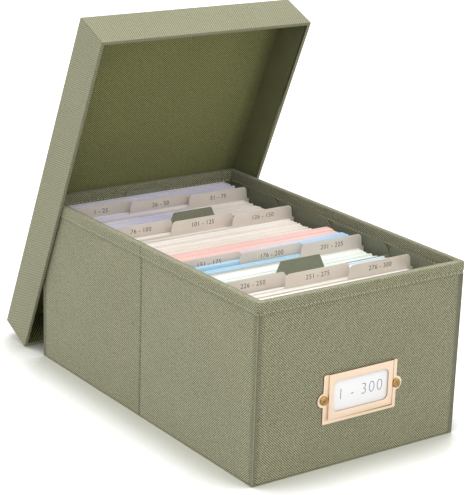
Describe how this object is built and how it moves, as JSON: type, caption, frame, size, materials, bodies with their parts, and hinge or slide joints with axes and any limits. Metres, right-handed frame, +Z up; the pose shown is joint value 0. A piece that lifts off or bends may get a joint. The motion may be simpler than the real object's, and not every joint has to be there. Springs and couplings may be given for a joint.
{
  "type": "photo storage box",
  "caption": "Cloth-covered photo storage box with lift-off lid leaning at its back, lift-out card trays, tabbed divider cards, bundles of prints and a framed label.",
  "frame": {"origin": "middle of the underside of the box, on the surface it stands on", "axes": "+Z up, -Y towards the front with the label holder, +X to the right seen from the front"},
  "size_m": [0.185, 0.339, 0.279],
  "materials": {
    "canvas": "sage green plain-woven cotton cloth, matt",
    "canvas_lining": "sage green woven lining, matt",
    "binding": "sage green woven tape, stitched along its lower edge",
    "greyboard": "grey pressed board, matt",
    "tray_card": "dark green-grey folded card, matt",
    "divider_sheet": "warm grey frosted sheet, satin",
    "photo_paper": "stacked photo prints, white cut edges with tinted faces",
    "label_brass": "pale gold-plated pressed sheet, satin",
    "screw_brass": "darker gold round heads",
    "label_paper": "white card with a plain grey number"
  },
  "bodies": {
    "box": {"base_cover": "canvas", "bottom_board": "greyboard", "base_pad": "canvas_lining", "front_board": "greyboard", "back_board": "greyboard", "left_board_front": "greyboard", "left_board_rear": "greyboard", "right_board_front": "greyboard", "right_board_rear": "greyboard", "front_cover": "canvas", "back_cover": "canvas", "left_cover": "canvas", "right_cover": "canvas", "corner_seams": "canvas", "inner_lining": "canvas_lining", "rim_binding": "binding", "label_frame": "label_brass", "label_screws": "screw_brass"},
    "lid": {"lid_top_board": "greyboard", "lid_left_board": "greyboard", "lid_right_board": "greyboard", "lid_lower_board": "greyboard", "lid_upper_board": "greyboard", "lid_top_cover": "canvas", "lid_skirt_cover": "canvas", "lid_lining": "canvas_lining"},
    "label_card": {"label_card": "label_paper"},
    "tray_1": {"tray_1": "tray_card"},
    "prints_1_1": {"prints_1_1": "photo_paper"},
    "divider_1_1": {"divider_1_1": "divider_sheet"},
    "prints_1_2": {"prints_1_2": "photo_paper"},
    "divider_1_2": {"divider_1_2": "divider_sheet"},
    "prints_1_3": {"prints_1_3": "photo_paper"},
    "divider_1_3": {"divider_1_3": "divider_sheet"},
    "prints_1_4": {"prints_1_4": "photo_paper"},
    "tray_2": {"tray_2": "tray_card"},
    "prints_2_1": {"prints_2_1": "photo_paper"},
    "divider_2_1": {"divider_2_1": "divider_sheet"},
    "prints_2_2": {"prints_2_2": "photo_paper"},
    "divider_2_2": {"divider_2_2": "divider_sheet"},
    "prints_2_3": {"prints_2_3": "photo_paper"},
    "divider_2_3": {"divider_2_3": "divider_sheet"},
    "prints_2_4": {"prints_2_4": "photo_paper"},
    "tray_3": {"tray_3": "tray_card"},
    "prints_3_1": {"prints_3_1": "photo_paper"},
    "divider_3_1": {"divider_3_1": "divider_sheet"},
    "prints_3_2": {"prints_3_2": "photo_paper"},
    "divider_3_2": {"divider_3_2": "divider_sheet"},
    "prints_3_3": {"prints_3_3": "photo_paper"},
    "divider_3_3": {"divider_3_3": "divider_sheet"},
    "prints_3_4": {"prints_3_4": "photo_paper"},
    "tray_4": {"tray_4": "tray_card"},
    "prints_4_1": {"prints_4_1": "photo_paper"},
    "divider_4_1": {"divider_4_1": "divider_sheet"},
    "prints_4_2": {"prints_4_2": "photo_paper"},
    "divider_4_2": {"divider_4_2": "divider_sheet"},
    "prints_4_3": {"prints_4_3": "photo_paper"},
    "divider_4_3": {"divider_4_3": "divider_sheet"},
    "prints_4_4": {"prints_4_4": "photo_paper"}
  },
  "joints": [
    {"name": "lid_lift", "type": "slide", "parent": "box", "child": "lid", "axis": [0, 0, 1], "range_m": [0, 0.3]},
    {"name": "label_card_pull", "type": "slide", "parent": "box", "child": "label_card", "axis": [0, 0, 1], "range_m": [0, 0.033]},
    {"name": "tray_1_lift", "type": "slide", "parent": "box", "child": "tray_1", "axis": [0, 0, 1], "range_m": [0, 0.015]},
    {"name": "prints_1_1_lift", "type": "slide", "parent": "tray_1", "child": "prints_1_1", "axis": [0, 0, 1], "range_m": [0, 0.022]},
    {"name": "divider_1_1_lift", "type": "slide", "parent": "tray_1", "child": "divider_1_1", "axis": [0, 0, 1], "range_m": [0, 0.058]},
    {"name": "prints_1_2_lift", "type": "slide", "parent": "tray_1", "child": "prints_1_2", "axis": [0, 0, 1], "range_m": [0, 0.068]},
    {"name": "divider_1_2_lift", "type": "slide", "parent": "tray_1", "child": "divider_1_2", "axis": [0, 0, 1], "range_m": [0, 0.07]},
    {"name": "prints_1_3_lift", "type": "slide", "parent": "tray_1", "child": "prints_1_3", "axis": [0, 0, 1], "range_m": [0, 0.08]},
    {"name": "divider_1_3_lift", "type": "slide", "parent": "tray_1", "child": "divider_1_3", "axis": [0, 0, 1], "range_m": [0, 0.083]},
    {"name": "prints_1_4_lift", "type": "slide", "parent": "tray_1", "child": "prints_1_4", "axis": [0, 0, 1], "range_m": [0, 0.095]},
    {"name": "tray_2_lift", "type": "slide", "parent": "box", "child": "tray_2", "axis": [0, 0, 1], "range_m": [0, 0.128]},
    {"name": "prints_2_1_lift", "type": "slide", "parent": "tray_2", "child": "prints_2_1", "axis": [0, 0, 1], "range_m": [0, 0.118]},
    {"name": "divider_2_1_lift", "type": "slide", "parent": "tray_2", "child": "divider_2_1", "axis": [0, 0, 1], "range_m": [0, 0.12]},
    {"name": "prints_2_2_lift", "type": "slide", "parent": "tray_2", "child": "prints_2_2", "axis": [0, 0, 1], "range_m": [0, 0.118]},
    {"name": "divider_2_2_lift", "type": "slide", "parent": "tray_2", "child": "divider_2_2", "axis": [0, 0, 1], "range_m": [0, 0.12]},
    {"name": "prints_2_3_lift", "type": "slide", "parent": "tray_2", "child": "prints_2_3", "axis": [0, 0, 1], "range_m": [0, 0.118]},
    {"name": "divider_2_3_lift", "type": "slide", "parent": "tray_2", "child": "divider_2_3", "axis": [0, 0, 1], "range_m": [0, 0.12]},
    {"name": "prints_2_4_lift", "type": "slide", "parent": "tray_2", "child": "prints_2_4", "axis": [0, 0, 1], "range_m": [0, 0.118]},
    {"name": "tray_3_lift", "type": "slide", "parent": "box", "child": "tray_3", "axis": [0, 0, 1], "range_m": [0, 0.128]},
    {"name": "prints_3_1_lift", "type": "slide", "parent": "tray_3", "child": "prints_3_1", "axis": [0, 0, 1], "range_m": [0, 0.118]},
    {"name": "divider_3_1_lift", "type": "slide", "parent": "tray_3", "child": "divider_3_1", "axis": [0, 0, 1], "range_m": [0, 0.12]},
    {"name": "prints_3_2_lift", "type": "slide", "parent": "tray_3", "child": "prints_3_2", "axis": [0, 0, 1], "range_m": [0, 0.118]},
    {"name": "divider_3_2_lift", "type": "slide", "parent": "tray_3", "child": "divider_3_2", "axis": [0, 0, 1], "range_m": [0, 0.12]},
    {"name": "prints_3_3_lift", "type": "slide", "parent": "tray_3", "child": "prints_3_3", "axis": [0, 0, 1], "range_m": [0, 0.118]},
    {"name": "divider_3_3_lift", "type": "slide", "parent": "tray_3", "child": "divider_3_3", "axis": [0, 0, 1], "range_m": [0, 0.12]},
    {"name": "prints_3_4_lift", "type": "slide", "parent": "tray_3", "child": "prints_3_4", "axis": [0, 0, 1], "range_m": [0, 0.118]},
    {"name": "tray_4_lift", "type": "slide", "parent": "box", "child": "tray_4", "axis": [0, 0, 1], "range_m": [0, 0.128]},
    {"name": "prints_4_1_lift", "type": "slide", "parent": "tray_4", "child": "prints_4_1", "axis": [0, 0, 1], "range_m": [0, 0.118]},
    {"name": "divider_4_1_lift", "type": "slide", "parent": "tray_4", "child": "divider_4_1", "axis": [0, 0, 1], "range_m": [0, 0.12]},
    {"name": "prints_4_2_lift", "type": "slide", "parent": "tray_4", "child": "prints_4_2", "axis": [0, 0, 1], "range_m": [0, 0.118]},
    {"name": "divider_4_2_lift", "type": "slide", "parent": "tray_4", "child": "divider_4_2", "axis": [0, 0, 1], "range_m": [0, 0.12]},
    {"name": "prints_4_3_lift", "type": "slide", "parent": "tray_4", "child": "prints_4_3", "axis": [0, 0, 1], "range_m": [0, 0.118]},
    {"name": "divider_4_3_lift", "type": "slide", "parent": "tray_4", "child": "divider_4_3", "axis": [0, 0, 1], "range_m": [0, 0.12]},
    {"name": "prints_4_4_lift", "type": "slide", "parent": "tray_4", "child": "prints_4_4", "axis": [0, 0, 1], "range_m": [0, 0.118]}
  ]
}
